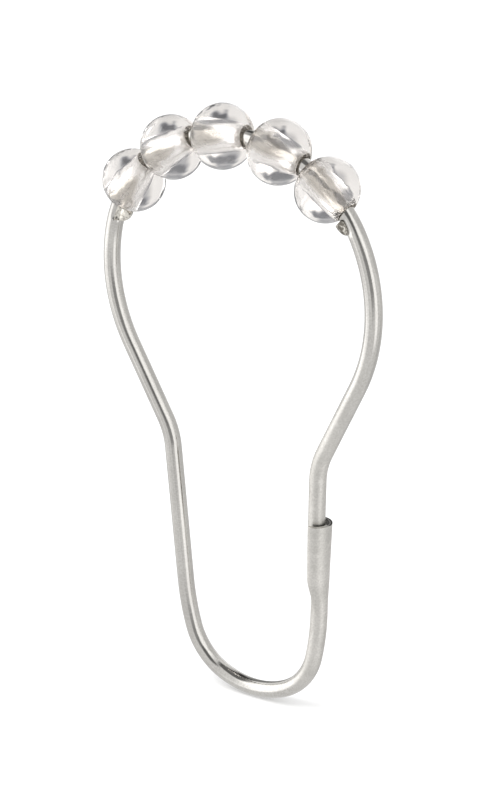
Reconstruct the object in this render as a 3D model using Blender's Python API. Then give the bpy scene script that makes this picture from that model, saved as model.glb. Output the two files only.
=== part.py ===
"""Roller ring for a shower curtain: a pear-shaped loop of spring wire that clasps at one side,
and five clear drilled beads that roll on the curtain rod.

The loop lies in the XZ plane and hangs down -Z. The origin is where the rod bears, under the middle bead.
"""

import math

import bmesh
import bpy
from mathutils import Matrix, Vector

MM = 0.001

# Wire, with lengths and radii along its centre line
WIRE_DIAMETER = 2.2 * MM
CROWN_RADIUS = 20.8 * MM
CROWN_FAR_TURN = math.radians(51.4)
CROWN_CLASP_TURN = math.radians(40.2)
HAUNCH_RADIUS = 15.8 * MM
HAUNCH_TURN = math.radians(24.2)
UPPER_RADIUS = 21.4 * MM
SHOULDER_TILT = math.radians(27.9)
SHOULDER_LENGTH = 10.6 * MM
NECK_RADIUS = 9.3 * MM
ARM_TILT = math.radians(3.25)
FREE_ARM_LENGTH = 5.65 * MM
LOWER_RADIUS = 34 * MM
LOWER_TURN = math.radians(11.1)
CORNER_RADIUS = 8.65 * MM
CORNER_TURN = math.radians(51.4)
TIP_ROUNDING = 0.4 * MM

# Clasp: the loop's other end, rolled into an open trough that holds the free arm
TROUGH_LENGTH = 6.95 * MM
TROUGH_TAPER = 5.7 * MM
TROUGH_WALL = 0.6 * MM
TROUGH_PLAY = 0.15 * MM
TROUGH_FLARE = 0.15 * MM
TROUGH_WRAP = math.radians(95)
TIP_TO_TAPER = 1.4 * MM

# Bead stops: ears pinched from the wire towards the inside of the loop, with a dent on each side
STOP_HEIGHT = 1.05 * MM
STOP_FACE = 0.3 * MM
STOP_BACK = 1.8 * MM
STOP_PLAY = 0.4 * MM
STOP_SHARPNESS = 5
DENT_DEPTH = 0.35 * MM
DENT_SIDE = math.radians(122)
DENT_SHARPNESS = 8

# Beads: slightly flattened along the bore, the first one placed along the wire from the top of the crown
BEAD_DIAMETER = 8.1 * MM
BEAD_LENGTH = 7.7 * MM
BORE_PLAY = 0.3 * MM
MOUTH_CHAMFER = 0.1 * MM
FIRST_BEAD = 17.85 * MM
BEAD_SPACES = (0.32 * MM, 0.45 * MM, 0.7 * MM, 0.16 * MM)

# Facets, and the rounds taken to settle each bead against the one before it
WIRE_SIDES = 24
BEND_STEP = math.radians(6)
STRAIGHT_STEP = 4.0 * MM
STOP_STEP = 0.3 * MM
TAPER_STEP = 0.45 * MM
BEAD_SIDES = 32
BEAD_ARC_STEPS = 12
LIP_CROWDING = 1.5
SHARP_EDGE = math.radians(35)
SETTLING_ROUNDS = 6

# Sizes that follow
WIRE_RADIUS = WIRE_DIAMETER / 2
BORE_RADIUS = WIRE_RADIUS + BORE_PLAY
MOUTH_RADIUS = BORE_RADIUS + MOUTH_CHAMFER
MOUTH_DISTANCE = BEAD_LENGTH / 2 * math.sqrt(1 - (2 * MOUTH_RADIUS / BEAD_DIAMETER) ** 2)
STOP_LENGTH = STOP_FACE + STOP_BACK
TROUGH_INSIDE = WIRE_RADIUS + TROUGH_PLAY
TROUGH_OUTSIDE = TROUGH_INSIDE + TROUGH_WALL
CLASP_OFFSET = TROUGH_OUTSIDE - WIRE_RADIUS
ARM_IN_TROUGH = TROUGH_LENGTH - TIP_TO_TAPER
BOTTOM_TURN = math.pi / 2 - ARM_TILT - LOWER_TURN - CORNER_TURN


def smooth(share):
    """An S-shaped rise from 0 to 1."""
    share = min(1, max(0, share))
    return share * share * (3 - 2 * share)


class WirePath:
    """A centre line bent in the XZ plane, walked from the free tip over the crown and round to the trough."""

    def __init__(self, heading):
        self.point = Vector((0, 0, 0))
        self.heading = heading
        self.length = 0
        self.stations = [(0, self.point, heading)]

    def direction(self):
        return Vector((math.cos(self.heading), 0, math.sin(self.heading)))

    def straight(self, length, step=STRAIGHT_STEP):
        count = max(1, math.ceil(length / step))
        for _ in range(count):
            self.point = self.point + self.direction() * (length / count)
            self.length += length / count
            self.stations.append((self.length, self.point, self.heading))

    def bend(self, radius, turn, step=BEND_STEP):
        """Turns left for a positive angle and right for a negative one."""
        count = max(1, math.ceil(abs(turn) / step))
        for _ in range(count):
            half = turn / count / 2
            self.heading += half
            self.point = self.point + self.direction() * (2 * radius * math.sin(abs(half)))
            self.heading += half
            self.length += radius * abs(turn) / count
            self.stations.append((self.length, self.point, self.heading))

    def at(self, distance):
        """The point this far along the wire."""
        for (s0, p0, h0), (s1, p1, h1) in zip(self.stations, self.stations[1:]):
            if distance <= s1:
                return arc_point(p0, h0, p1, h1, (distance - s0) / (s1 - s0))
        return self.stations[-1][1]

    def shift(self, offset):
        self.stations = [(s, p + offset, h) for s, p, h in self.stations]


def arc_point(p0, h0, p1, h1, share):
    """The point part of the way along an arc or line between two stations."""
    turn = h1 - h0
    chord = p1 - p0
    if turn == 0:
        return p0 + chord * share
    radius = chord.length / (2 * math.sin(turn / 2))
    h = h0 + turn * share
    return p0 + Vector((math.sin(h) - math.sin(h0), 0, math.cos(h0) - math.cos(h))) * radius


def clasp_foot():
    """Where the trough's taper starts, seen from the free tip: below it and offset by the trough's depth."""
    along = Vector((math.sin(ARM_TILT), 0, math.cos(ARM_TILT)))
    outward = Vector((math.cos(ARM_TILT), 0, -math.sin(ARM_TILT)))
    return outward * CLASP_OFFSET - along * (TIP_TO_TAPER + TROUGH_TAPER)


def wire_path():
    """The whole centre line, with the distances along it of the top of the crown and of the taper.

    The far arm comes down level with the clasp's foot, and the bottom spans what is left between them.
    """
    path = WirePath(math.pi / 2 - ARM_TILT)
    path.straight(TIP_ROUNDING)
    path.straight(ARM_IN_TROUGH + FREE_ARM_LENGTH - TIP_ROUNDING)
    path.bend(NECK_RADIUS, ARM_TILT - SHOULDER_TILT)
    path.straight(SHOULDER_LENGTH)
    path.bend(UPPER_RADIUS, math.pi / 2 + SHOULDER_TILT - HAUNCH_TURN - CROWN_CLASP_TURN)
    path.bend(HAUNCH_RADIUS, HAUNCH_TURN)
    path.bend(CROWN_RADIUS, CROWN_CLASP_TURN)
    crown = path.length
    path.bend(CROWN_RADIUS, CROWN_FAR_TURN)
    path.bend(HAUNCH_RADIUS, HAUNCH_TURN)
    path.bend(UPPER_RADIUS, math.pi / 2 + SHOULDER_TILT - HAUNCH_TURN - CROWN_FAR_TURN)
    path.straight(SHOULDER_LENGTH)
    path.bend(NECK_RADIUS, ARM_TILT - SHOULDER_TILT)
    foot = clasp_foot()
    path.straight((path.point.z - foot.z) / math.cos(ARM_TILT))
    middle = (path.point.x + foot.x) / 2
    path.bend(LOWER_RADIUS, LOWER_TURN)
    path.bend(CORNER_RADIUS, CORNER_TURN)
    path.bend((middle - path.point.x) / math.sin(BOTTOM_TURN), 2 * BOTTOM_TURN)
    path.bend(CORNER_RADIUS, CORNER_TURN)
    path.bend(LOWER_RADIUS, LOWER_TURN)
    taper_start = path.length
    path.straight(TROUGH_TAPER, TAPER_STEP)
    path.straight(TROUGH_LENGTH)
    return path, crown, taper_start


def bead_place(path, distance):
    """A bead's middle and its bore's direction, with the wire's bow shared evenly across the bore."""
    near = path.at(distance - MOUTH_DISTANCE)
    far = path.at(distance + MOUTH_DISTANCE)
    return ((near + far) / 2 + path.at(distance)) / 2, (far - near).normalized()


def inner_rim(place, reach):
    """The point of a bead's mouth nearest the middle of the loop, this far along its bore."""
    middle, along = place
    inward = Vector((-along.z, 0, along.x))
    return middle + along * reach + inward * MOUTH_RADIUS


def bead_distances(path, crown):
    """Distances along the wire of the beads, from the far side to the clasp side.

    Neighbours come nearest at the inner rims of their mouths, which are left this far apart.
    """
    distances = [crown + FIRST_BEAD]
    for space in BEAD_SPACES:
        last = bead_place(path, distances[-1])
        distance = distances[-1] - BEAD_LENGTH
        for _ in range(SETTLING_ROUNDS):
            following = bead_place(path, distance)
            gap = inner_rim(last, -MOUTH_DISTANCE) - inner_rim(following, MOUTH_DISTANCE)
            distance += gap.dot(last[1]) - space
        distances.append(distance)
    return distances


def stop_starts(distances):
    """Distances along the wire at which each bead stop's upright face begins, and which way it runs."""
    reach = MOUTH_DISTANCE + STOP_PLAY
    return ((distances[-1] - reach, -1), (distances[0] + reach, 1))


def stop_profile(distance, stops):
    """Height of a bead stop at this distance, up to 1: an upright face to the bead and a rounded back."""
    rise = 0
    for start, way in stops:
        along = (distance - start) * way
        back = min(1, max(0, (along - STOP_FACE) / STOP_BACK))
        rise = max(rise, smooth(along / STOP_FACE) * math.cos(math.pi / 2 * back))
    return rise


def round_section(rise, size):
    """The wire's section as (outward, sideways) pairs, with an ear and two dents where a stop is pinched."""
    points = []
    for k in range(WIRE_SIDES):
        turn = -math.pi / 2 + 2 * math.pi * k / WIRE_SIDES
        from_outside = math.acos(math.cos(turn))
        ear = max(0, -math.cos(turn)) ** STOP_SHARPNESS
        dent = max(0, math.cos(from_outside - DENT_SIDE)) ** DENT_SHARPNESS
        radius = WIRE_RADIUS * size + rise * (STOP_HEIGHT * ear - DENT_DEPTH * dent)
        points.append((radius * math.cos(turn), radius * math.sin(turn)))
    return points


def trough_section(flare):
    """The rolled strip's section, about the free arm's axis, in the same order of points."""
    points = []
    half = WIRE_SIDES // 2
    middle = (TROUGH_INSIDE + TROUGH_OUTSIDE) / 2
    for k in range(WIRE_SIDES):
        from_middle = (k % half) / (half / 2) - 1
        share = math.copysign(1 - (1 - abs(from_middle)) ** LIP_CROWDING, from_middle)
        angle = TROUGH_WRAP * (share if k < half else -share)
        radius = middle if k % half == 0 else TROUGH_OUTSIDE if k < half else TROUGH_INSIDE
        radius += flare
        points.append((radius * math.cos(angle) - CLASP_OFFSET, radius * math.sin(angle)))
    return points


def section_at(distance, stops, taper_start):
    tip_share = min(1, distance / TIP_ROUNDING)
    size = 1 - TIP_ROUNDING / WIRE_RADIUS * (1 - tip_share)
    wire = round_section(stop_profile(distance, stops), size)
    rolled = smooth((distance - taper_start) / TROUGH_TAPER)
    flare = TROUGH_FLARE * max(0, distance - taper_start - TROUGH_TAPER) / TROUGH_LENGTH
    return [
        (a[0] + (b[0] - a[0]) * rolled, a[1] + (b[1] - a[1]) * rolled)
        for a, b in zip(wire, trough_section(flare))
    ]


def with_stop_stations(path, stops):
    """The path's stations, with close ones added where a stop's face and slope need them."""
    extra = []
    for start, way in stops:
        count = round(STOP_LENGTH / STOP_STEP)
        for k in range(count + 1):
            extra.append(start + way * STOP_LENGTH * k / count)
    stations = []
    for (s0, p0, h0), (s1, p1, h1) in zip(path.stations, path.stations[1:]):
        stations.append((s0, p0, h0))
        for s in sorted(s for s in extra if s0 + STOP_STEP / 4 < s < s1 - STOP_STEP / 4):
            share = (s - s0) / (s1 - s0)
            stations.append((s, arc_point(p0, h0, p1, h1, share), h0 + (h1 - h0) * share))
    stations.append(path.stations[-1])
    return stations


def material(name, colour, metallic=0, roughness=0.5, transmission=0, alpha=1):
    made = bpy.data.materials.new(name)
    made.use_nodes = True
    shader = made.node_tree.nodes["Principled BSDF"]
    shader.inputs["Base Color"].default_value = (*colour, 1)
    shader.inputs["Metallic"].default_value = metallic
    shader.inputs["Roughness"].default_value = roughness
    shader.inputs["Transmission Weight"].default_value = transmission
    shader.inputs["Alpha"].default_value = alpha
    return made


def mesh_object(name, bm, finish):
    bmesh.ops.recalc_face_normals(bm, faces=bm.faces)
    mesh = bpy.data.meshes.new(name)
    bm.to_mesh(mesh)
    bm.free()
    mesh.shade_smooth()
    mesh.set_sharp_from_angle(angle=SHARP_EDGE)
    mesh.materials.append(finish)
    made = bpy.data.objects.new(name, mesh)
    bpy.context.collection.objects.link(made)
    return made


def cap(bm, ring):
    """Closes an end with a ladder of faces between the section's outer and inner halves."""
    half = len(ring) // 2
    bm.faces.new((ring[0], ring[1], ring[-1]))
    for k in range(1, half - 1):
        bm.faces.new((ring[k], ring[k + 1], ring[-k - 1], ring[-k]))
    bm.faces.new((ring[half - 1], ring[half], ring[half + 1]))


def wire_ring(path, stops, taper_start):
    bm = bmesh.new()
    rings = []
    for distance, point, heading in with_stop_stations(path, stops):
        outward = Vector((math.sin(heading), 0, -math.cos(heading)))
        section = section_at(distance, stops, taper_start)
        rings.append([bm.verts.new(point + outward * n + Vector((0, y, 0))) for n, y in section])
    for near, far in zip(rings, rings[1:]):
        for k in range(WIRE_SIDES):
            after = (k + 1) % WIRE_SIDES
            bm.faces.new((near[k], near[after], far[after], far[k]))
    cap(bm, rings[0])
    cap(bm, rings[-1])
    nickel = material("plated_wire", (0.78, 0.76, 0.73), metallic=1, roughness=0.2)
    return mesh_object("wire_ring", bm, nickel)


def bead_profile():
    """Half of a bead's section about its bore, as (along, out) pairs: bore, mouths and rounded outside."""
    bore_end = MOUTH_DISTANCE - MOUTH_CHAMFER
    points = [(-bore_end, BORE_RADIUS), (bore_end, BORE_RADIUS)]
    mouth = math.asin(2 * MOUTH_RADIUS / BEAD_DIAMETER)
    for k in range(BEAD_ARC_STEPS + 1):
        turn = mouth + (math.pi - 2 * mouth) * k / BEAD_ARC_STEPS
        points.append((BEAD_LENGTH / 2 * math.cos(turn), BEAD_DIAMETER / 2 * math.sin(turn)))
    return points


def bead_mesh():
    bm = bmesh.new()
    corners = [bm.verts.new((along, 0, out)) for along, out in bead_profile()]
    edges = [bm.edges.new((a, b)) for a, b in zip(corners, corners[1:] + corners[:1])]
    bmesh.ops.spin(
        bm,
        geom=corners + edges,
        axis=(1, 0, 0),
        cent=(0, 0, 0),
        angle=2 * math.pi,
        steps=BEAD_SIDES,
        use_merge=True,
    )
    return bm


def beads(places, ring):
    acrylic = material("clear_acrylic", (0.95, 0.95, 0.94), roughness=0.03, transmission=1, alpha=0.5)
    for number, (middle, along) in enumerate(places, 1):
        bead = mesh_object(f"bead_{number}", bead_mesh(), acrylic)
        bead.matrix_world = Matrix.Translation(middle) @ along.to_track_quat("X", "Z").to_matrix().to_4x4()
        bead.parent = ring


def layout():
    """The wire's path, its stops and clasp, and the beads' places, with the rod's seat at the origin."""
    path, crown, taper_start = wire_path()
    distances = bead_distances(path, crown)
    middle_bead = bead_place(path, distances[len(distances) // 2])[0]
    path.shift(Vector((-path.at(crown).x, 0, BEAD_DIAMETER / 2 - middle_bead.z)))
    places = [bead_place(path, distance) for distance in distances]
    return path, stop_starts(distances), taper_start, places


def main():
    for old in list(bpy.data.objects):
        bpy.data.objects.remove(old)
    path, stops, taper_start, places = layout()
    ring = wire_ring(path, stops, taper_start)
    beads(places, ring)


main()
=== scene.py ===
"""Looks of the roller ring: a satin nickel wire loop with a rolled clasp, and five clear acrylic beads.

Everything is in metres, in the frame of the solids: the loop lies in the XZ plane and hangs down -Z.
"""

import math

import bmesh
import bpy
from mathutils import Matrix, Vector


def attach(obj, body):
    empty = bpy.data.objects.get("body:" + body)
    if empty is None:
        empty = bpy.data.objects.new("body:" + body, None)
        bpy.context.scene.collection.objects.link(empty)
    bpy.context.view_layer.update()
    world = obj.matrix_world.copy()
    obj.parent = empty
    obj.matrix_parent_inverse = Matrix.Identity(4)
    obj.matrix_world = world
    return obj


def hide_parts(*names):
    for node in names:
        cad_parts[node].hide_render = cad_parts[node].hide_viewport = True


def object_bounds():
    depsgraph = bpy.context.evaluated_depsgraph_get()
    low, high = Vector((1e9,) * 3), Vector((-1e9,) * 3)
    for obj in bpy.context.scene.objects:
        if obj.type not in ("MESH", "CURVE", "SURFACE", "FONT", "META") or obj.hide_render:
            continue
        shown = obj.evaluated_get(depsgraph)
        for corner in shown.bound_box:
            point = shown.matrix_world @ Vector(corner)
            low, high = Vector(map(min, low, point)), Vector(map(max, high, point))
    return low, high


MM = 0.001

# Camera, as the photograph was taken
CAMERA_AZIMUTH = math.radians(35.74)
CAMERA_ELEVATION = math.radians(19.90)
CAMERA_ROLL = math.radians(-2.02)
CAMERA_DISTANCE = 270 * MM
CAMERA_AIM = Vector((2.623, -3.708, -27.985)) * MM
FOCAL_PIXELS = 2183.5
FRAME_HEIGHT = 800
SENSOR_SIDE = 36
CLIP_START = 0.01
CLIP_END = 20

# Wire, with lengths and radii along its centre line, as the solids have them
WIRE_RADIUS = 1.1 * MM
CROWN_RADIUS = 20.8 * MM
CROWN_FAR_TURN = math.radians(51.4)
CROWN_CLASP_TURN = math.radians(40.2)
HAUNCH_RADIUS = 15.8 * MM
HAUNCH_TURN = math.radians(24.2)
UPPER_RADIUS = 21.4 * MM
SHOULDER_TILT = math.radians(27.9)
SHOULDER_LENGTH = 10.6 * MM
NECK_RADIUS = 9.3 * MM
ARM_TILT = math.radians(3.25)
FREE_ARM_LENGTH = 5.65 * MM
LOWER_RADIUS = 34 * MM
LOWER_TURN = math.radians(11.1)
CORNER_RADIUS = 8.65 * MM
CORNER_TURN = math.radians(51.4)
TIP_ROUNDING = 0.4 * MM

# Clasp, with how far back from the trough's mouth the painted shade of the gap inside it begins and is full
TROUGH_LENGTH = 6.95 * MM
TROUGH_TAPER = 5.7 * MM
TROUGH_INSIDE = 1.25 * MM
TROUGH_OUTSIDE = 1.85 * MM
TROUGH_FLARE = 0.15 * MM
TROUGH_WRAP = math.radians(95)
TIP_TO_TAPER = 1.4 * MM
LIP_CROWDING = 0.75
LIP_SQUARENESS = 0.3
BURR_HEIGHT = 0.03 * MM
BURR_CREST = 0.9
BURR_DISH = 0.3
# Across the clasp, where the painted shade on the far half of the rim begins
RIM_SHADE_EDGE = 0.1 * MM
GAP_SHADE_SPAN = (9 * MM, 1 * MM)

# Bead stops
STOP_HEIGHT = 1.05 * MM
STOP_FACE = 0.3 * MM
STOP_BACK = 1.8 * MM
STOP_PLAY = 0.4 * MM
STOP_HALF_WIDTH = 0.62 * MM
STOP_SQUARENESS = 3.5
STOP_MARKED = 0.12
STOP_MARKED_SIDE = math.radians(70)
DENT_DEPTH = 0.35 * MM
DENT_SIDE = math.radians(122)
DENT_SHARPNESS = 8

# Beads
BEAD_DIAMETER = 8.1 * MM
BEAD_LENGTH = 7.7 * MM
BORE_RADIUS = 1.4 * MM
MOUTH_RADIUS = 1.5 * MM
FROSTED_COLLAR = (2.6 * MM, 3.2 * MM)
FIRST_BEAD = 17.85 * MM
BEAD_SPACES = (0.32 * MM, 0.45 * MM, 0.7 * MM, 0.16 * MM)

# Mesh fineness
WIRE_SIDES = 96
BEND_STEP = math.radians(2)
STRAIGHT_STEP = 1.0 * MM
STOP_STEP = 0.08 * MM
TAPER_STEP = 0.12 * MM
RIM_STEP = 0.05 * MM
BEAD_SIDES = 128
BEAD_ARC_STEPS = 64
MOUTH_STEPS = 6
SETTLING_ROUNDS = 6
WIRE_SHARP_ANGLE = math.radians(50)
BEAD_SHARP_ANGLE = math.radians(60)

# Finishes of the wire's faces and of a bead's faces, in the order of their materials
# Of these finishes, the far rim's dark burr is painted shade
PLATE, SHADED_RIM, SHORN, PINCHED, INSIDE = range(5)
CLEAR, DRILLED, RUBBED = range(3)

# Where along the wire the satin ends and begins again
SATIN_FROM_TIP = (14 * MM, 34 * MM)
SATIN_TO_TROUGH = (160 * MM, 176 * MM)

# Noise of the finishes: scale, detail and, where it isn't a half, roughness.
# Where it has a stretch, that scales the length and the turn round the piece first.
CLOUDS = (260, 3)
GRAIN = (4200, 2)
PITS = (2600, 4, 0.65)
DRAWN_LINES = (1, 3, 0.6)
DRAWN_STRETCH = (900, 9)
MOTTLE = (7000, 4, 0.6)
PATCHES = (1900, 3, 0.6)
SPOTS = (3600, 3, 0.6)
WAVES = (380, 2)
MARKS = (2400, 5, 0.7)
SWIRLS = (700, 1)
GATHERING = (230, 0)
STREAKS = (1, 4, 0.6)
STREAK_STRETCH = (260, 9)
TOOL_RINGS = (1, 2)
TOOL_STRETCH = (3500, 2)
RUBBING = (1500, 3, 0.6)

# A colour noise's mean, and the parts of a noise's range over which a finish changes
NOISE_MEAN = (0.5, 0.5, 0.5)
MIDDLE = (0.35, 0.65)
MOST = (0.3, 0.7)
LINE_TOPS = (0.56, 0.68)
PIT_TOPS = (0.66, 0.76)
MOTTLE_AND_SIDE_RANGE = (0.42, 0.62)
SPOT_TOPS = (0.60, 0.70)
MARK_TOPS = (0.55, 0.8)
GATHERED = (0.48, 0.62)
STREAK_RANGE = (0.35, 0.7)

# Tones, and shares of one tone in another
POLISHED_TONES = ((0.57, 0.555, 0.53), (0.63, 0.615, 0.585))
WORN_TONES = ((0.64, 0.625, 0.59), (0.74, 0.72, 0.685))
LINE_TONE = (0.90, 0.875, 0.83)
LINE_SHARE = 0.4
GRAIN_TONE = (0.25, 0.235, 0.215)
GRAIN_SHARES = (0.16, 0.21)
PIT_TONE = (0.30, 0.27, 0.24)
PIT_SHARE = 0.45
# The near-black tone inside the trough is painted shade of the gap round the free arm
GAP_SHADE_TONE = (0.035, 0.032, 0.028)
GAP_SHADE_SHARES = (1, 0.8)
# Painted shade: the near-black burr on the far half of the trough's rim
RIM_SHADE_TONES = ((0.015, 0.013, 0.012), (0.05, 0.045, 0.04))
SHORN_TONES = ((0.12, 0.115, 0.11), (0.34, 0.33, 0.32))
PINCHED_TONES = ((0.17, 0.155, 0.135), (0.80, 0.77, 0.70))
SPOT_TONE = (0.05, 0.045, 0.04)
SPOT_SHARE = 0.8
ACRYLIC_TONES = ((0.97, 0.93, 0.893), (0.99, 0.955, 0.923))
BORE_TONES = ((0.93, 0.90, 0.865), (1.0, 0.985, 0.96))
COLLAR_TONE = (0.86, 0.81, 0.75)
MOUTH_TONES = ((0.55, 0.50, 0.44), (0.84, 0.80, 0.75))

# The stops differ: the one on the far side, at the first place, is brighter than the one on the clasp side
STOP_PLACES = (-16 * MM, 16 * MM)
STOP_SIDE_SHIFTS = (0.10, -0.08)

# Roughness, and how much light passes
POLISHED_BLUR = 0.08
SATIN_BLUR = 0.45
CLOUD_BLUR = (-0.02, 0.03)
CUT_BLUR = (0.4, 0.65)
CUT_METAL = 0.7
PINCHED_BLUR = (0.34, 0.2)
MARK_BLUR = (0, 0.05)
BORE_BLUR = (0.10, 0.32)
MOUTH_BLUR = (0.5, 0.25)
BORE_CLEARNESS = (0.92, 0.62)
COLLAR_CLEARNESS = 0.7
MOUTH_CLEARNESS = 0.35
LEAST_SWIRL = 0.1
ACRYLIC_IOR = 1.49

# Bumps: height and strength
LINE_BUMP = (0.006 * MM, 0.35)
GRAIN_BUMP = (0.012 * MM, 0.45)
CUT_BUMP = (0.02 * MM, 0.6)
SPOT_BUMP = (0.02 * MM, 0.5)
FLOW_BUMP = (0.08 * MM, 0.4)
SWIRL_BUMP = (0.35 * MM, 0.5)
TOOL_BUMP = (0.01 * MM, 0.4)

# Studio round the object: azimuth from the camera, elevation, roll, half width, half height, soft edge, level
STUDIO_LEVEL = 0.95
STUDIO_RISE = 0.11
STUDIO_CARDS = (
    (122, -40, -13, 33, 16, 18, 0.70),
    (181, 72, -2, 16.5, 40, 16, 0.06),
    (-95, 18, 6, 30, 36, 15, 1.9),
    (31, 10, 2, 17.5, 43, 14, 1.55),
    (-5, -1.5, 10, 20, 13.5, 14, 0.4),
    (-50, 71, 25, 21, 19, 12, 0.2),
    (163, 7, 46, 12, 18, 14, 1.55),
    (105, 18, 40, 23, 54, 16, 0.78),
    (-172, 15, 6, 13, 21, 15, 0.3),
    (-12, 25.5, -22, 17, 17, 12, 0.2),
    (180, -20, 0, 20, 16, 14, 0.4),
)

# What clear pieces show of the studio: dimmed and greyer, but with its soft boxes as bright,
# with a dark ring round the sides, two ragged dark cards behind them, and cooler where it is dark
CLEAR_SHARE = 0.68
CLEAR_LIFT = 0.26
BOX_GAIN = 1.9
BOX_START = 1.4
SIDE_RING = (68, 74, 98, 112)
SIDE_LEVEL = 0.28
CLEAR_CARDS = (
    (178, 23, 0, 23, 9, 10, 0.2),
    (176, -41, 0, 11, 9, 12, 0.15),
)
RAGGED_SCALE = 3.2
RAGGED_REACH = 0.35
COOLED_LEVELS = (0.2, 0.7)
WHITE = (1, 1, 1)
DARK_TINT = (0.95, 0.985, 1.08)

# What mirrors inside clear pieces, so mostly the wire, show of the studio
MIRROR_GAIN = 1.2
MIRROR_CONTRAST = 1.5
MIRROR_LEAST = 0.34

# Floor: its side in metres, its own tone, and what the camera sees on top of that to make it white
FLOOR_SIDE = 4
FLOOR_TONE = 0.8
FLOOR_LIFT = 0.2

# Lamp: where it is, seen from the camera's azimuth, its size in metres and its power in watts
KEY_AZIMUTH = math.radians(-60)
KEY_ELEVATION = math.radians(65)
KEY_DISTANCE = 0.7
KEY_SIZE = 0.5
KEY_POWER = 2.4

# Sizes that follow
CLASP_OFFSET = TROUGH_OUTSIDE - WIRE_RADIUS
ARM_IN_TROUGH = TROUGH_LENGTH - TIP_TO_TAPER
BOTTOM_TURN = math.pi / 2 - ARM_TILT - LOWER_TURN - CORNER_TURN
MOUTH_DISTANCE = BEAD_LENGTH / 2 * math.sqrt(1 - (2 * MOUTH_RADIUS / BEAD_DIAMETER) ** 2)


def smooth(share):
    """An S-shaped rise from 0 to 1."""
    share = min(1, max(0, share))
    return share * share * (3 - 2 * share)


def signed_power(value, power):
    return math.copysign(abs(value) ** power, value)


class WirePath:
    """A centre line bent in the XZ plane, walked from the free tip over the crown and round to the trough."""

    def __init__(self, heading):
        self.point = Vector((0, 0, 0))
        self.heading = heading
        self.length = 0
        self.stations = [(0, self.point, heading)]

    def direction(self):
        return Vector((math.cos(self.heading), 0, math.sin(self.heading)))

    def straight(self, length, step=STRAIGHT_STEP):
        count = max(1, math.ceil(length / step))
        for _ in range(count):
            self.point = self.point + self.direction() * (length / count)
            self.length += length / count
            self.stations.append((self.length, self.point, self.heading))

    def bend(self, radius, turn, step=BEND_STEP):
        """Turns left for a positive angle and right for a negative one."""
        count = max(1, math.ceil(abs(turn) / step))
        for _ in range(count):
            half = turn / count / 2
            self.heading += half
            self.point = self.point + self.direction() * (2 * radius * math.sin(abs(half)))
            self.heading += half
            self.length += radius * abs(turn) / count
            self.stations.append((self.length, self.point, self.heading))

    def at(self, distance):
        """The point this far along the wire."""
        for (s0, p0, h0), (s1, p1, h1) in zip(self.stations, self.stations[1:]):
            if distance <= s1:
                return arc_point(p0, h0, p1, h1, (distance - s0) / (s1 - s0))
        return self.stations[-1][1]

    def shift(self, offset):
        self.stations = [(s, p + offset, h) for s, p, h in self.stations]


def arc_point(p0, h0, p1, h1, share):
    """The point part of the way along an arc or line between two stations."""
    turn = h1 - h0
    chord = p1 - p0
    if turn == 0:
        return p0 + chord * share
    radius = chord.length / (2 * math.sin(turn / 2))
    h = h0 + turn * share
    return p0 + Vector((math.sin(h) - math.sin(h0), 0, math.cos(h0) - math.cos(h))) * radius


def clasp_foot():
    """Where the trough's taper starts, seen from the free tip: below it and offset by the trough's depth."""
    along = Vector((math.sin(ARM_TILT), 0, math.cos(ARM_TILT)))
    outward = Vector((math.cos(ARM_TILT), 0, -math.sin(ARM_TILT)))
    return outward * CLASP_OFFSET - along * (TIP_TO_TAPER + TROUGH_TAPER)


def wire_path():
    """The whole centre line, with the distances along it of the top of the crown and of the taper.

    The far arm comes down level with the clasp's foot, and the bottom spans what is left between them.
    """
    path = WirePath(math.pi / 2 - ARM_TILT)
    path.straight(TIP_ROUNDING, TIP_ROUNDING / 4)
    path.straight(ARM_IN_TROUGH + FREE_ARM_LENGTH - TIP_ROUNDING)
    path.bend(NECK_RADIUS, ARM_TILT - SHOULDER_TILT)
    path.straight(SHOULDER_LENGTH)
    path.bend(UPPER_RADIUS, math.pi / 2 + SHOULDER_TILT - HAUNCH_TURN - CROWN_CLASP_TURN)
    path.bend(HAUNCH_RADIUS, HAUNCH_TURN)
    path.bend(CROWN_RADIUS, CROWN_CLASP_TURN)
    crown = path.length
    path.bend(CROWN_RADIUS, CROWN_FAR_TURN)
    path.bend(HAUNCH_RADIUS, HAUNCH_TURN)
    path.bend(UPPER_RADIUS, math.pi / 2 + SHOULDER_TILT - HAUNCH_TURN - CROWN_FAR_TURN)
    path.straight(SHOULDER_LENGTH)
    path.bend(NECK_RADIUS, ARM_TILT - SHOULDER_TILT)
    foot = clasp_foot()
    path.straight((path.point.z - foot.z) / math.cos(ARM_TILT))
    middle = (path.point.x + foot.x) / 2
    path.bend(LOWER_RADIUS, LOWER_TURN)
    path.bend(CORNER_RADIUS, CORNER_TURN)
    path.bend((middle - path.point.x) / math.sin(BOTTOM_TURN), 2 * BOTTOM_TURN)
    path.bend(CORNER_RADIUS, CORNER_TURN)
    path.bend(LOWER_RADIUS, LOWER_TURN)
    taper_start = path.length
    path.straight(TROUGH_TAPER, TAPER_STEP)
    path.straight(TROUGH_LENGTH - RIM_STEP)
    path.straight(RIM_STEP)
    return path, crown, taper_start


def bead_place(path, distance):
    """A bead's middle and its bore's direction, with the wire's bow shared evenly across the bore."""
    near = path.at(distance - MOUTH_DISTANCE)
    far = path.at(distance + MOUTH_DISTANCE)
    return ((near + far) / 2 + path.at(distance)) / 2, (far - near).normalized()


def inner_rim(place, reach):
    """The point of a bead's mouth nearest the middle of the loop, this far along its bore."""
    middle, along = place
    inward = Vector((-along.z, 0, along.x))
    return middle + along * reach + inward * MOUTH_RADIUS


def bead_distances(path, crown):
    """Distances along the wire of the beads, from the far side to the clasp side.

    Neighbours come nearest at the inner rims of their mouths, which are left this far apart.
    """
    distances = [crown + FIRST_BEAD]
    for space in BEAD_SPACES:
        last = bead_place(path, distances[-1])
        distance = distances[-1] - BEAD_LENGTH
        for _ in range(SETTLING_ROUNDS):
            following = bead_place(path, distance)
            gap = inner_rim(last, -MOUTH_DISTANCE) - inner_rim(following, MOUTH_DISTANCE)
            distance += gap.dot(last[1]) - space
        distances.append(distance)
    return distances


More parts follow.
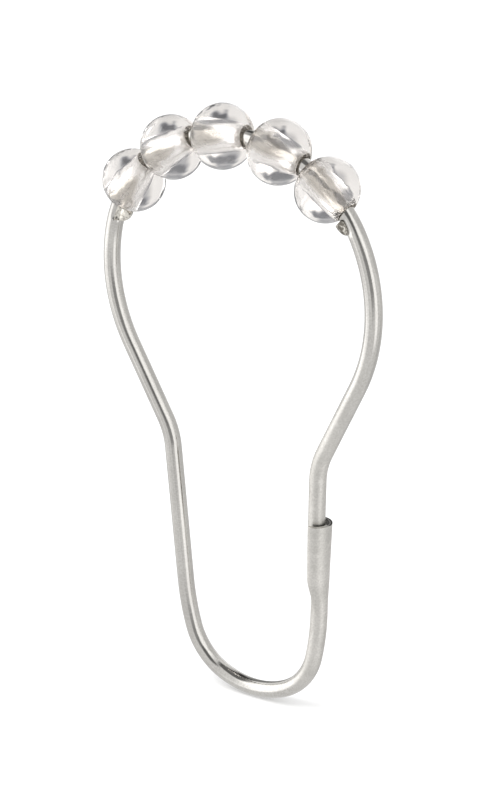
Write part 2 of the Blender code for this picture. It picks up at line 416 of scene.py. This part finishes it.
def stop_starts(distances):
    """Distances along the wire at which each bead stop's upright face begins, and which way it runs."""
    reach = MOUTH_DISTANCE + STOP_PLAY
    return ((distances[-1] - reach, -1), (distances[0] + reach, 1))


def stop_profile(distance, stops):
    """Height of a bead stop at this distance, up to 1: an upright face to the bead and a rounded back."""
    rise = 0
    for start, way in stops:
        along = (distance - start) * way
        back = min(1, max(0, (along - STOP_FACE) / STOP_BACK))
        rise = max(rise, smooth(along / STOP_FACE) * math.sqrt(1 - back * back))
    return rise


def ear_height(from_inside, rise):
    """How far a stop's flat-sided, round-topped ear stands out from the wire at this angle."""
    if from_inside >= math.pi / 2:
        return 0
    tall = math.cos(from_inside) / (WIRE_RADIUS + STOP_HEIGHT * rise)
    wide = math.sin(from_inside) / STOP_HALF_WIDTH
    return max(0, (tall**STOP_SQUARENESS + wide**STOP_SQUARENESS) ** (-1 / STOP_SQUARENESS) - WIRE_RADIUS)


def round_section(rise, size):
    """The wire's section as (outward, sideways) pairs, with an ear and two dents where a stop is pinched."""
    points = []
    for k in range(WIRE_SIDES):
        turn = -math.pi / 2 + 2 * math.pi * k / WIRE_SIDES
        from_outside = math.acos(math.cos(turn))
        dent = max(0, math.cos(from_outside - DENT_SIDE)) ** DENT_SHARPNESS
        radius = WIRE_RADIUS * size + ear_height(math.pi - from_outside, rise) - rise * DENT_DEPTH * dent
        points.append((radius * math.cos(turn), radius * math.sin(turn)))
    return points


def trough_section(flare, shrink=1):
    """The rolled strip's section about the free arm's axis, with rounded lips; shrink thins it evenly."""
    points = []
    middle = (TROUGH_INSIDE + TROUGH_OUTSIDE) / 2 + flare
    half_wall = (TROUGH_OUTSIDE - TROUGH_INSIDE) / 2
    trim = half_wall * (1 - shrink) / middle
    for k in range(WIRE_SIDES):
        turn = -math.pi / 2 + 2 * math.pi * k / WIRE_SIDES
        angle = (TROUGH_WRAP - trim) * signed_power(math.sin(turn), LIP_CROWDING)
        radius = middle + half_wall * shrink * signed_power(math.cos(turn), LIP_SQUARENESS)
        points.append((radius * math.cos(angle) - CLASP_OFFSET, radius * math.sin(angle)))
    return points


def section_at(distance, stops, taper_start):
    """The section this far along the wire: rounded at the tip, and rolled from the taper on."""
    tip_share = min(1, distance / TIP_ROUNDING)
    size = 1 - TIP_ROUNDING / WIRE_RADIUS * (1 - math.sqrt(1 - (1 - tip_share) ** 2))
    wire = round_section(stop_profile(distance, stops), size)
    rolled = smooth((distance - taper_start) / TROUGH_TAPER)
    flare = TROUGH_FLARE * max(0, distance - taper_start - TROUGH_TAPER) / TROUGH_LENGTH
    return [
        (a[0] + (b[0] - a[0]) * rolled, a[1] + (b[1] - a[1]) * rolled)
        for a, b in zip(wire, trough_section(flare))
    ]


def with_stop_stations(path, stops):
    """The path's stations, with close ones added where a stop's face and slope need them."""
    stop_length = STOP_FACE + STOP_BACK
    count = round(stop_length / STOP_STEP)
    extra = [start + way * stop_length * k / count for start, way in stops for k in range(count + 1)]
    stations = []
    for (s0, p0, h0), (s1, p1, h1) in zip(path.stations, path.stations[1:]):
        stations.append((s0, p0, h0))
        for s in sorted(s for s in extra if s0 + STOP_STEP / 4 < s < s1 - STOP_STEP / 4):
            share = (s - s0) / (s1 - s0)
            stations.append((s, arc_point(p0, h0, p1, h1, share), h0 + (h1 - h0) * share))
    stations.append(path.stations[-1])
    return stations


def nodes_of(material):
    material.use_nodes = True
    tree = material.node_tree
    return tree, tree.nodes["Principled BSDF"]


def add_node(tree, kind, **settings):
    made = tree.nodes.new(kind)
    for name, value in settings.items():
        setattr(made, name, value)
    return made


def noise(tree, vector, scale, detail, roughness=0.5):
    made = add_node(tree, "ShaderNodeTexNoise")
    tree.links.new(vector, made.inputs["Vector"])
    made.inputs["Scale"].default_value = scale
    made.inputs["Detail"].default_value = detail
    made.inputs["Roughness"].default_value = roughness
    return made.outputs["Fac"]


def remap(tree, value, low, high, to_low, to_high, smooth_step=False):
    made = add_node(tree, "ShaderNodeMapRange")
    if smooth_step:
        made.interpolation_type = "SMOOTHSTEP"
    tree.links.new(value, made.inputs["Value"])
    made.inputs["From Min"].default_value = low
    made.inputs["From Max"].default_value = high
    made.inputs["To Min"].default_value = to_low
    made.inputs["To Max"].default_value = to_high
    return made.outputs["Result"]


def feed(tree, socket, value):
    """Sets a socket to a number or a colour, or links another node's output to it."""
    if isinstance(value, tuple):
        socket.default_value = (*value, 1)
    elif isinstance(value, (int, float)):
        socket.default_value = value
    else:
        tree.links.new(value, socket)


def arithmetic(tree, operation, *values):
    made = add_node(tree, "ShaderNodeMath", operation=operation)
    for socket, value in zip(made.inputs, values):
        feed(tree, socket, value)
    return made.outputs["Value"]


def mix(tree, kind, factor, first, second):
    made = add_node(tree, "ShaderNodeMix", data_type=kind)
    tree.links.new(factor, made.inputs["Factor"])
    feed(tree, made.inputs["A"], first)
    feed(tree, made.inputs["B"], second)
    return made.outputs["Result"]


def mix_colours(tree, factor, first, second):
    return mix(tree, "RGBA", factor, first, second)


def mix_values(tree, factor, first, second):
    return mix(tree, "FLOAT", factor, first, second)


def own_place(tree):
    """A piece's own coordinates, in metres."""
    return add_node(tree, "ShaderNodeTexCoord").outputs["Object"]


def own_length(tree, layer):
    """The distance along a piece that its coordinate layer keeps."""
    uv = add_node(tree, "ShaderNodeUVMap", uv_map=layer)
    split = add_node(tree, "ShaderNodeSeparateXYZ")
    tree.links.new(uv.outputs["UV"], split.inputs["Vector"])
    return split.outputs["X"]


def stretched(tree, layer, along, across):
    """A coordinate layer, length first and turn second, scaled by these two factors."""
    uv = add_node(tree, "ShaderNodeUVMap", uv_map=layer)
    mapping = add_node(tree, "ShaderNodeMapping")
    tree.links.new(uv.outputs["UV"], mapping.inputs["Vector"])
    mapping.inputs["Scale"].default_value = (along, across, 1)
    return mapping.outputs["Vector"]


def bump(tree, height, distance, strength, under=None):
    made = add_node(tree, "ShaderNodeBump")
    made.inputs["Distance"].default_value = distance
    made.inputs["Strength"].default_value = strength
    tree.links.new(height, made.inputs["Height"])
    if under is not None:
        tree.links.new(under, made.inputs["Normal"])
    return made.outputs["Normal"]


def along_wire(tree, start, end, at_start, at_end):
    """A value that changes smoothly between two distances along the wire."""
    return remap(tree, own_length(tree, "wire"), start, end, at_start, at_end, smooth_step=True)


def near_clasp(tree):
    """1 on the clasp and the free arm's end, where the plate is worn satin, falling to 0 along the wire."""
    at_tip = along_wire(tree, *SATIN_FROM_TIP, 1, 0)
    at_trough = along_wire(tree, *SATIN_TO_TROUGH, 0, 1)
    return arithmetic(tree, "MAXIMUM", at_tip, at_trough)


def nickel_material(name, shade_span=None):
    """Satin nickel plate: drawn lines along the wire, fine grain, faint clouds, small pits and, when a span
    is given, painted shade of the gap inside the trough.
    """
    material = bpy.data.materials.new(name)
    tree, shader = nodes_of(material)
    place = own_place(tree)
    clouds = noise(tree, place, *CLOUDS)
    grain = noise(tree, place, *GRAIN)
    pits = noise(tree, place, *PITS)
    drawn = noise(tree, stretched(tree, "wire", *DRAWN_STRETCH), *DRAWN_LINES)
    worn = near_clasp(tree)
    cloudy = remap(tree, clouds, *MIDDLE, 0, 1)
    polished_tone = mix_colours(tree, cloudy, *POLISHED_TONES)
    worn_tone = mix_colours(tree, cloudy, *WORN_TONES)
    bright_lines = arithmetic(tree, "MULTIPLY", worn, remap(tree, drawn, *LINE_TOPS, 0, LINE_SHARE))
    plain = mix_colours(tree, bright_lines, mix_colours(tree, worn, polished_tone, worn_tone), LINE_TONE)
    grain_share = mix_values(tree, worn, *GRAIN_SHARES)
    grainy = arithmetic(tree, "MULTIPLY", remap(tree, grain, *MIDDLE, 1, 0), grain_share)
    tone = mix_colours(tree, grainy, plain, GRAIN_TONE)
    tone = mix_colours(tree, remap(tree, pits, *PIT_TOPS, 0, PIT_SHARE), tone, PIT_TONE)
    # Painted shade: darkens the trough's inside towards its mouth, where the gap to the free arm lies in
    # shade, mottled a little by the pits
    if shade_span:
        spread = along_wire(tree, *shade_span, 0, 1)
        gap_shade = arithmetic(tree, "MULTIPLY", spread, remap(tree, pits, *MOST, *GAP_SHADE_SHARES))
        tone = mix_colours(tree, gap_shade, tone, GAP_SHADE_TONE)
    tree.links.new(tone, shader.inputs["Base Color"])
    shader.inputs["Metallic"].default_value = 1
    satin = mix_values(tree, worn, POLISHED_BLUR, SATIN_BLUR)
    blur = arithmetic(tree, "ADD", satin, remap(tree, clouds, *MOST, *CLOUD_BLUR))
    tree.links.new(blur, shader.inputs["Roughness"])
    lines = bump(tree, drawn, *LINE_BUMP)
    tree.links.new(bump(tree, grain, *GRAIN_BUMP, lines), shader.inputs["Normal"])
    return material


def cut_material(name, tones):
    """Rough, mottled metal where the wire was cut."""
    material = bpy.data.materials.new(name)
    tree, shader = nodes_of(material)
    mottle = noise(tree, own_place(tree), *MOTTLE)
    tone = mix_colours(tree, remap(tree, mottle, *MIDDLE, 0, 1), *tones)
    tree.links.new(tone, shader.inputs["Base Color"])
    shader.inputs["Metallic"].default_value = CUT_METAL
    tree.links.new(remap(tree, mottle, *MOST, *CUT_BLUR), shader.inputs["Roughness"])
    tree.links.new(bump(tree, mottle, *CUT_BUMP), shader.inputs["Normal"])
    return material


def pinched_material():
    """The stops, where the plate is crushed: mottled from dark steel to bright bare spots."""
    material = bpy.data.materials.new("pinched_nickel")
    tree, shader = nodes_of(material)
    place = own_place(tree)
    patches = noise(tree, place, *PATCHES)
    spots = noise(tree, place, *SPOTS)
    split = add_node(tree, "ShaderNodeSeparateXYZ")
    tree.links.new(place, split.inputs["Vector"])
    # The mottle, shifted by position so that the far stop is lighter and the clasp-side stop darker
    mottle_and_side = arithmetic(tree, "ADD", patches, remap(tree, split.outputs["X"], *STOP_PLACES, *STOP_SIDE_SHIFTS))
    tone = mix_colours(tree, remap(tree, mottle_and_side, *MOTTLE_AND_SIDE_RANGE, 0, 1), *PINCHED_TONES)
    tone = mix_colours(tree, remap(tree, spots, *SPOT_TOPS, 0, SPOT_SHARE), tone, SPOT_TONE)
    tree.links.new(tone, shader.inputs["Base Color"])
    shader.inputs["Metallic"].default_value = 1
    tree.links.new(remap(tree, patches, *MOST, *PINCHED_BLUR), shader.inputs["Roughness"])
    tree.links.new(bump(tree, spots, *SPOT_BUMP), shader.inputs["Normal"])
    return material


def acrylic_material():
    """Clear moulded acrylic: slow flow waves, swirls gathered in places, and a faint haze of marks."""
    material = bpy.data.materials.new("clear_acrylic")
    tree, shader = nodes_of(material)
    place = own_place(tree)
    waves = noise(tree, place, *WAVES)
    marks = noise(tree, place, *MARKS)
    swirls = noise(tree, place, *SWIRLS)
    gathered = remap(tree, noise(tree, place, *GATHERING), *GATHERED, LEAST_SWIRL, 1, smooth_step=True)
    tree.links.new(mix_colours(tree, waves, *ACRYLIC_TONES), shader.inputs["Base Color"])
    shader.inputs["Transmission Weight"].default_value = 1
    shader.inputs["IOR"].default_value = ACRYLIC_IOR
    tree.links.new(remap(tree, marks, *MARK_TOPS, *MARK_BLUR), shader.inputs["Roughness"])
    flow = bump(tree, waves, *FLOW_BUMP)
    height = arithmetic(tree, "MULTIPLY", swirls, gathered)
    tree.links.new(bump(tree, height, *SWIRL_BUMP, flow), shader.inputs["Normal"])
    return material


def drilled_material():
    """The bore: slightly frosted acrylic with tool marks round it, streaks along it and a duller collar."""
    material = bpy.data.materials.new("drilled_acrylic")
    tree, shader = nodes_of(material)
    streaks = noise(tree, stretched(tree, "bead", *STREAK_STRETCH), *STREAKS)
    rings = noise(tree, stretched(tree, "bead", *TOOL_STRETCH), *TOOL_RINGS)
    from_middle = arithmetic(tree, "ABSOLUTE", own_length(tree, "bead"))
    collar = remap(tree, from_middle, *FROSTED_COLLAR, 0, 1, smooth_step=True)
    tone = mix_colours(tree, remap(tree, streaks, *MIDDLE, 0, 1), *BORE_TONES)
    tree.links.new(mix_colours(tree, collar, tone, COLLAR_TONE), shader.inputs["Base Color"])
    clearness = remap(tree, streaks, *STREAK_RANGE, *BORE_CLEARNESS)
    clearness = mix_values(tree, collar, clearness, COLLAR_CLEARNESS)
    tree.links.new(clearness, shader.inputs["Transmission Weight"])
    shader.inputs["IOR"].default_value = ACRYLIC_IOR
    tree.links.new(remap(tree, streaks, *MOST, *BORE_BLUR), shader.inputs["Roughness"])
    tree.links.new(bump(tree, rings, *TOOL_BUMP), shader.inputs["Normal"])
    return material


def mouth_material():
    """The rolled edge of a bore, rubbed and frosted, and tinted brown-grey."""
    material = bpy.data.materials.new("rubbed_mouth")
    tree, shader = nodes_of(material)
    rubbed = noise(tree, own_place(tree), *RUBBING)
    tone = mix_colours(tree, remap(tree, rubbed, *MIDDLE, 0, 1), *MOUTH_TONES)
    tree.links.new(tone, shader.inputs["Base Color"])
    shader.inputs["Transmission Weight"].default_value = MOUTH_CLEARNESS
    shader.inputs["IOR"].default_value = ACRYLIC_IOR
    tree.links.new(remap(tree, rubbed, *MOST, *MOUTH_BLUR), shader.inputs["Roughness"])
    tree.links.new(bump(tree, rubbed, *TOOL_BUMP), shader.inputs["Normal"])
    return material


def finished(name, bm, materials, sharp_angle):
    """The object that a mesh becomes, smooth but for edges sharper than this angle."""
    mesh = bpy.data.meshes.new(name)
    bmesh.ops.recalc_face_normals(bm, faces=bm.faces)
    bm.to_mesh(mesh)
    bm.free()
    mesh.shade_smooth()
    mesh.set_sharp_from_angle(angle=sharp_angle)
    for material in materials:
        mesh.materials.append(material)
    made = bpy.data.objects.new(name, mesh)
    bpy.context.scene.collection.objects.link(made)
    return made


def cap(bm, ring):
    """Closes an end with a ladder of faces between the section's outer and inner halves."""
    half = len(ring) // 2
    made = [bm.faces.new((ring[0], ring[1], ring[-1]))]
    for k in range(1, half - 1):
        made.append(bm.faces.new((ring[k], ring[k + 1], ring[-k - 1], ring[-k])))
    made.append(bm.faces.new((ring[half - 1], ring[half], ring[half + 1])))
    return made


def ring_of_corners(bm, point, heading, section):
    """Corners of a section set across the wire at this point."""
    outward = Vector((math.sin(heading), 0, -math.cos(heading)))
    return [bm.verts.new(point + outward * n + Vector((0, y, 0))) for n, y in section]


def join_rings(bm, near, far, uv_layer, span, finish=PLATE):
    """A band of faces between two rings, which keeps its distances along the wire in its layer."""
    made = []
    for k in range(WIRE_SIDES):
        after = (k + 1) % WIRE_SIDES
        face = bm.faces.new((near[k], near[after], far[after], far[k]))
        face.material_index = finish
        made.append(face)
        for loop, s, turn in zip(face.loops, (span[0], span[0], span[1], span[1]), (k, k + 1, k + 1, k)):
            loop[uv_layer].uv = (s, turn / WIRE_SIDES)
    return made


def marked_faces():
    """Places round the section of the faces that the stop's pinching marked."""
    middle = WIRE_SIDES * 3 // 4
    reach = round(STOP_MARKED_SIDE / (2 * math.pi) * WIRE_SIDES)
    return range(middle - reach, middle + reach)


def cut_end(bm, rim, station, uv_layer):
    """The cut at the trough's mouth: a burr round a dished end, with the burr painted near black as shade on
    the far half.
    """
    _, end, heading = station
    direction = Vector((math.cos(heading), 0, math.sin(heading)))
    crest = end + direction * BURR_HEIGHT
    burr = ring_of_corners(bm, crest, heading, trough_section(TROUGH_FLARE, BURR_CREST))
    dish = ring_of_corners(bm, end, heading, trough_section(TROUGH_FLARE, BURR_DISH))
    faces = join_rings(bm, rim, burr, uv_layer, (0, 0), SHADED_RIM)
    faces += join_rings(bm, burr, dish, uv_layer, (0, 0), SHADED_RIM)
    for face in cap(bm, dish):
        face.material_index = SHORN
        faces.append(face)
    for face in faces:
        # The near half keeps the plate, so only the far half shows the painted shade
        if face.calc_center_median().y < RIM_SHADE_EDGE:
            face.material_index = PLATE


def wire_piece(path, stops, taper_start):
    """The whole bent wire, with its cut end at the mouth of the clasp."""
    bm = bmesh.new()
    uv_layer = bm.loops.layers.uv.new("wire")
    stations = with_stop_stations(path, stops)
    rings = [ring_of_corners(bm, p, h, section_at(s, stops, taper_start)) for s, p, h in stations]
    for near, far, (s0, _, _), (s1, _, _) in zip(rings, rings[1:], stations, stations[1:]):
        made = join_rings(bm, near, far, uv_layer, (s0, s1))
        if s0 > taper_start:
            # The section's second half faces the free arm, but for its lips
            for face in made[WIRE_SIDES // 2 + 1:-1]:
                face.material_index = INSIDE
        if stop_profile((s0 + s1) / 2, stops) > STOP_MARKED:
            for k in marked_faces():
                made[k].material_index = PINCHED
    cap(bm, rings[0])
    cut_end(bm, rings[-1], stations[-1], uv_layer)
    materials = (
        nickel_material("satin_nickel"),
        # Painted shade on the burr of the rim's far half
        cut_material("far_rim_painted_shade", RIM_SHADE_TONES),
        cut_material("shorn_steel", SHORN_TONES),
        pinched_material(),
        # The trough's inside, with painted shade towards the mouth
        nickel_material("trough_inside_painted_shade", [path.length - back for back in GAP_SHADE_SPAN]),
    )
    return finished("wire_loop", bm, materials, WIRE_SHARP_ANGLE)


def bead_profile():
    """Half of a bead's section about its bore, as (along, out) pairs.

    It runs along the bore from one rolled mouth to the other, and back over the rounded outside.
    """
    mouth_turn = math.asin(2 * MOUTH_RADIUS / BEAD_DIAMETER)
    roll = MOUTH_RADIUS - BORE_RADIUS
    right = []
    for k in range(MOUTH_STEPS + 1):
        turn = math.pi / 2 * k / MOUTH_STEPS
        along = MOUTH_DISTANCE - roll + roll * math.sin(turn)
        right.append((along, MOUTH_RADIUS - roll * math.cos(turn)))
    left = [(-along, out) for along, out in reversed(right)]
    outside = []
    for k in range(1, BEAD_ARC_STEPS):
        turn = mouth_turn + (math.pi - 2 * mouth_turn) * k / BEAD_ARC_STEPS
        outside.append((BEAD_LENGTH / 2 * math.cos(turn), BEAD_DIAMETER / 2 * math.sin(turn)))
    return left + right + outside


def bead_finish(step):
    """The finish after this step of a bead's profile, which runs mouth, bore, mouth, outside."""
    if step == MOUTH_STEPS:
        return DRILLED
    return RUBBED if step <= 2 * MOUTH_STEPS else CLEAR


def bead_piece(name, place, materials):
    """A bead at its place on the wire, polished outside and drilled inside."""
    bm = bmesh.new()
    uv_layer = bm.loops.layers.uv.new("bead")
    profile = bead_profile()
    rings = []
    for k in range(BEAD_SIDES):
        turn = 2 * math.pi * k / BEAD_SIDES
        corners = [(along, out * math.sin(turn), out * math.cos(turn)) for along, out in profile]
        rings.append([bm.verts.new(corner) for corner in corners])
    for turn, (near, far) in enumerate(zip(rings, rings[1:] + rings[:1])):
        for k in range(len(profile)):
            after = (k + 1) % len(profile)
            face = bm.faces.new((near[k], near[after], far[after], far[k]))
            face.material_index = bead_finish(k)
            for loop, step, side in zip(face.loops, (k, after, after, k), (turn, turn, turn + 1, turn + 1)):
                loop[uv_layer].uv = (profile[step][0], side / BEAD_SIDES)
    middle, along = place
    bm.transform(Matrix.Translation(middle) @ along.to_track_quat("X", "Z").to_matrix().to_4x4())
    return finished(name, bm, materials, BEAD_SHARP_ANGLE)


def layout():
    """The wire's path, its stops and clasp, and the beads' places, with the rod's seat at the origin."""
    path, crown, taper_start = wire_path()
    distances = bead_distances(path, crown)
    middle_bead = bead_place(path, distances[len(distances) // 2])[0]
    path.shift(Vector((-path.at(crown).x, 0, BEAD_DIAMETER / 2 - middle_bead.z)))
    places = [bead_place(path, distance) for distance in distances]
    return path, stop_starts(distances), taper_start, places


def dress_ring(path, stops, taper_start):
    wire = wire_piece(path, stops, taper_start)
    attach(wire, "ring")
    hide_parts("wire_ring")


def dress_beads(places):
    materials = (acrylic_material(), drilled_material(), mouth_material())
    for number, place in enumerate(places, 1):
        bead = bead_piece(f"clear_bead_{number}", place, materials)
        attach(bead, f"bead_{number}")
        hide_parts(f"bead_{number}")


def facing(azimuth, elevation):
    """The direction away from the object at this azimuth from -Y towards +X, and this height."""
    flat = math.cos(elevation)
    return Vector((math.sin(azimuth) * flat, -math.cos(azimuth) * flat, math.sin(elevation)))


def dot(tree, direction, axis):
    """How far a direction points along a fixed axis."""
    made = add_node(tree, "ShaderNodeVectorMath", operation="DOT_PRODUCT")
    tree.links.new(direction, made.inputs[0])
    made.inputs[1].default_value = axis
    return made.outputs["Value"]


def card_mask(tree, direction, azimuth, elevation, roll, half_width, half_height, soft):
    """1 inside a soft-edged rectangle of the studio round the object, and 0 outside.

    Angles are in degrees, with the azimuth from the camera's.
    """
    middle = facing(CAMERA_AZIMUTH + math.radians(azimuth), math.radians(elevation))
    sideways = Vector((0, 0, 1)).cross(middle).normalized()
    upright = middle.cross(sideways)
    tilt = Matrix.Rotation(math.radians(roll), 3, middle)
    parts = [dot(tree, direction, axis) for axis in (middle, tilt @ sideways, tilt @ upright)]
    across = arithmetic(tree, "ABSOLUTE", arithmetic(tree, "ARCTAN2", parts[1], parts[0]))
    along = arithmetic(tree, "ABSOLUTE", arithmetic(tree, "ARCSINE", parts[2]))
    masks = []
    for value, half in ((across, half_width), (along, half_height)):
        near, far = math.radians(half - soft / 2), math.radians(half + soft / 2)
        masks.append(remap(tree, value, near, far, 1, 0, smooth_step=True))
    return arithmetic(tree, "MULTIPLY", *masks)


def wavering(tree, direction):
    """Directions pushed about by noise, so that a card looks ragged."""
    texture = add_node(tree, "ShaderNodeTexNoise")
    tree.links.new(direction, texture.inputs["Vector"])
    texture.inputs["Scale"].default_value = RAGGED_SCALE
    texture.inputs["Detail"].default_value = 1
    centred = add_node(tree, "ShaderNodeVectorMath", operation="SUBTRACT")
    tree.links.new(texture.outputs["Color"], centred.inputs[0])
    centred.inputs[1].default_value = NOISE_MEAN
    pushed = add_node(tree, "ShaderNodeVectorMath", operation="MULTIPLY_ADD")
    tree.links.new(centred.outputs["Vector"], pushed.inputs[0])
    pushed.inputs[1].default_value = (RAGGED_REACH, RAGGED_REACH, RAGGED_REACH)
    tree.links.new(direction, pushed.inputs[2])
    return pushed.outputs["Vector"]


def side_ring(tree, direction):
    """1 in a band of directions round the sides, as the camera faces the object, and 0 elsewhere."""
    angle = arithmetic(tree, "ARCCOSINE", dot(tree, direction, -facing(CAMERA_AZIMUTH, CAMERA_ELEVATION)))
    inner, full, fading, outer = (math.radians(turn) for turn in SIDE_RING)
    rise = remap(tree, angle, inner, full, 0, 1, smooth_step=True)
    fall = remap(tree, angle, fading, outer, 1, 0, smooth_step=True)
    return arithmetic(tree, "MULTIPLY", rise, fall)


def with_cards(tree, direction, level, cards):
    for *place, card_level in cards:
        level = mix_values(tree, card_mask(tree, direction, *place), level, card_level)
    return level


def studio_level(tree, direction):
    """How bright the studio is: a pale room that is brighter above, with its soft boxes and dark gaps."""
    height = add_node(tree, "ShaderNodeSeparateXYZ")
    tree.links.new(direction, height.inputs["Vector"])
    level = remap(tree, height.outputs["Z"], -1, 1, STUDIO_LEVEL - STUDIO_RISE, STUDIO_LEVEL + STUDIO_RISE)
    return with_cards(tree, direction, level, STUDIO_CARDS)


def level_through(tree, direction, level, path):
    """How bright the studio is through clear pieces, and in mirrors seen through them."""
    dimmed = arithmetic(tree, "ADD", arithmetic(tree, "MULTIPLY", level, CLEAR_SHARE), CLEAR_LIFT)
    boxes = arithmetic(tree, "SUBTRACT", arithmetic(tree, "MULTIPLY", level, BOX_GAIN), BOX_START)
    through = arithmetic(tree, "MAXIMUM", dimmed, boxes)
    through = mix_values(tree, side_ring(tree, direction), through, SIDE_LEVEL)
    through = with_cards(tree, wavering(tree, direction), through, CLEAR_CARDS)
    mirrored = arithmetic(tree, "MINIMUM", path.outputs["Glossy Depth"], 1)
    mirror = arithmetic(tree, "MULTIPLY", arithmetic(tree, "POWER", level, MIRROR_CONTRAST), MIRROR_GAIN)
    mirror = arithmetic(tree, "MAXIMUM", mirror, MIRROR_LEAST)
    return mix_values(tree, mirrored, through, mirror)


def studio_world():
    """White to the camera and to diffuse light, and the studio in reflections and refractions."""
    world = bpy.data.worlds.new("studio")
    bpy.context.scene.world = world
    world.use_nodes = True
    tree = world.node_tree
    background = tree.nodes["Background"]
    direction = add_node(tree, "ShaderNodeTexCoord").outputs["Generated"]
    path = add_node(tree, "ShaderNodeLightPath")
    in_clear = path.outputs["Is Transmission Ray"]
    level = studio_level(tree, direction)
    seen = mix_values(tree, in_clear, level, level_through(tree, direction, level, path))
    cool = arithmetic(tree, "MULTIPLY", in_clear, remap(tree, seen, *COOLED_LEVELS, 1, 0))
    shown = add_node(tree, "ShaderNodeVectorMath", operation="SCALE")
    tree.links.new(mix_colours(tree, cool, WHITE, DARK_TINT), shown.inputs[0])
    tree.links.new(seen, shown.inputs["Scale"])
    plain = arithmetic(tree, "MAXIMUM", path.outputs["Is Camera Ray"], path.outputs["Is Diffuse Ray"])
    tree.links.new(mix_colours(tree, plain, shown.outputs["Vector"], WHITE), background.inputs["Color"])
    background.inputs["Strength"].default_value = 1


def floor(level):
    """A pale floor that is white to the camera but for the object's shadow."""
    bpy.ops.mesh.primitive_plane_add(size=FLOOR_SIDE, location=(0, 0, level))
    made = bpy.context.object
    made.name = "floor"
    made.visible_glossy = False
    made.visible_transmission = False
    material = bpy.data.materials.new("pale_floor")
    tree, shader = nodes_of(material)
    shader.inputs["Base Color"].default_value = (FLOOR_TONE, FLOOR_TONE, FLOOR_TONE, 1)
    shader.inputs["Roughness"].default_value = 1
    shader.inputs["Specular IOR Level"].default_value = 0
    shader.inputs["Emission Color"].default_value = (*WHITE, 1)
    path = add_node(tree, "ShaderNodeLightPath")
    lift = arithmetic(tree, "MULTIPLY", path.outputs["Is Camera Ray"], FLOOR_LIFT)
    tree.links.new(lift, shader.inputs["Emission Strength"])
    made.data.materials.append(material)


def key_light():
    light = bpy.data.lights.new("soft_key", "AREA")
    light.shape = "DISK"
    light.size = KEY_SIZE
    light.energy = KEY_POWER
    made = bpy.data.objects.new("soft_key", light)
    bpy.context.scene.collection.objects.link(made)
    made.location = facing(CAMERA_AZIMUTH + KEY_AZIMUTH, KEY_ELEVATION) * KEY_DISTANCE
    made.rotation_euler = (-made.location).to_track_quat("-Z", "Y").to_euler()
    made.visible_glossy = False
    made.visible_transmission = False


def camera():
    data = bpy.data.cameras.new("camera")
    data.sensor_width = SENSOR_SIDE
    data.lens = FOCAL_PIXELS / FRAME_HEIGHT * SENSOR_SIDE
    data.clip_start = CLIP_START
    data.clip_end = CLIP_END
    made = bpy.data.objects.new("camera", data)
    bpy.context.scene.collection.objects.link(made)
    back = facing(CAMERA_AZIMUTH, CAMERA_ELEVATION)
    made.location = CAMERA_AIM + back * CAMERA_DISTANCE
    level = (-back).to_track_quat("-Z", "Y").to_matrix()
    made.rotation_euler = (Matrix.Rotation(CAMERA_ROLL, 3, back) @ level).to_euler()
    bpy.context.scene.camera = made


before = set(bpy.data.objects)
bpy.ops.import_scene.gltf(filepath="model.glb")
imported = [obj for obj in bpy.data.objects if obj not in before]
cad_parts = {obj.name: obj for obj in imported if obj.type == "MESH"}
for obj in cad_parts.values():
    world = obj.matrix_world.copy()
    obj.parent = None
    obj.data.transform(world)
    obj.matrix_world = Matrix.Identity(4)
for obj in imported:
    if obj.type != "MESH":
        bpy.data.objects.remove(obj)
cad_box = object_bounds()
bpy.context.scene.view_settings.view_transform = "Standard"
path, stops, taper_start, places = layout()
dress_ring(path, stops, taper_start)
dress_beads(places)
studio_world()
floor(cad_box[0].z)
key_light()
camera()
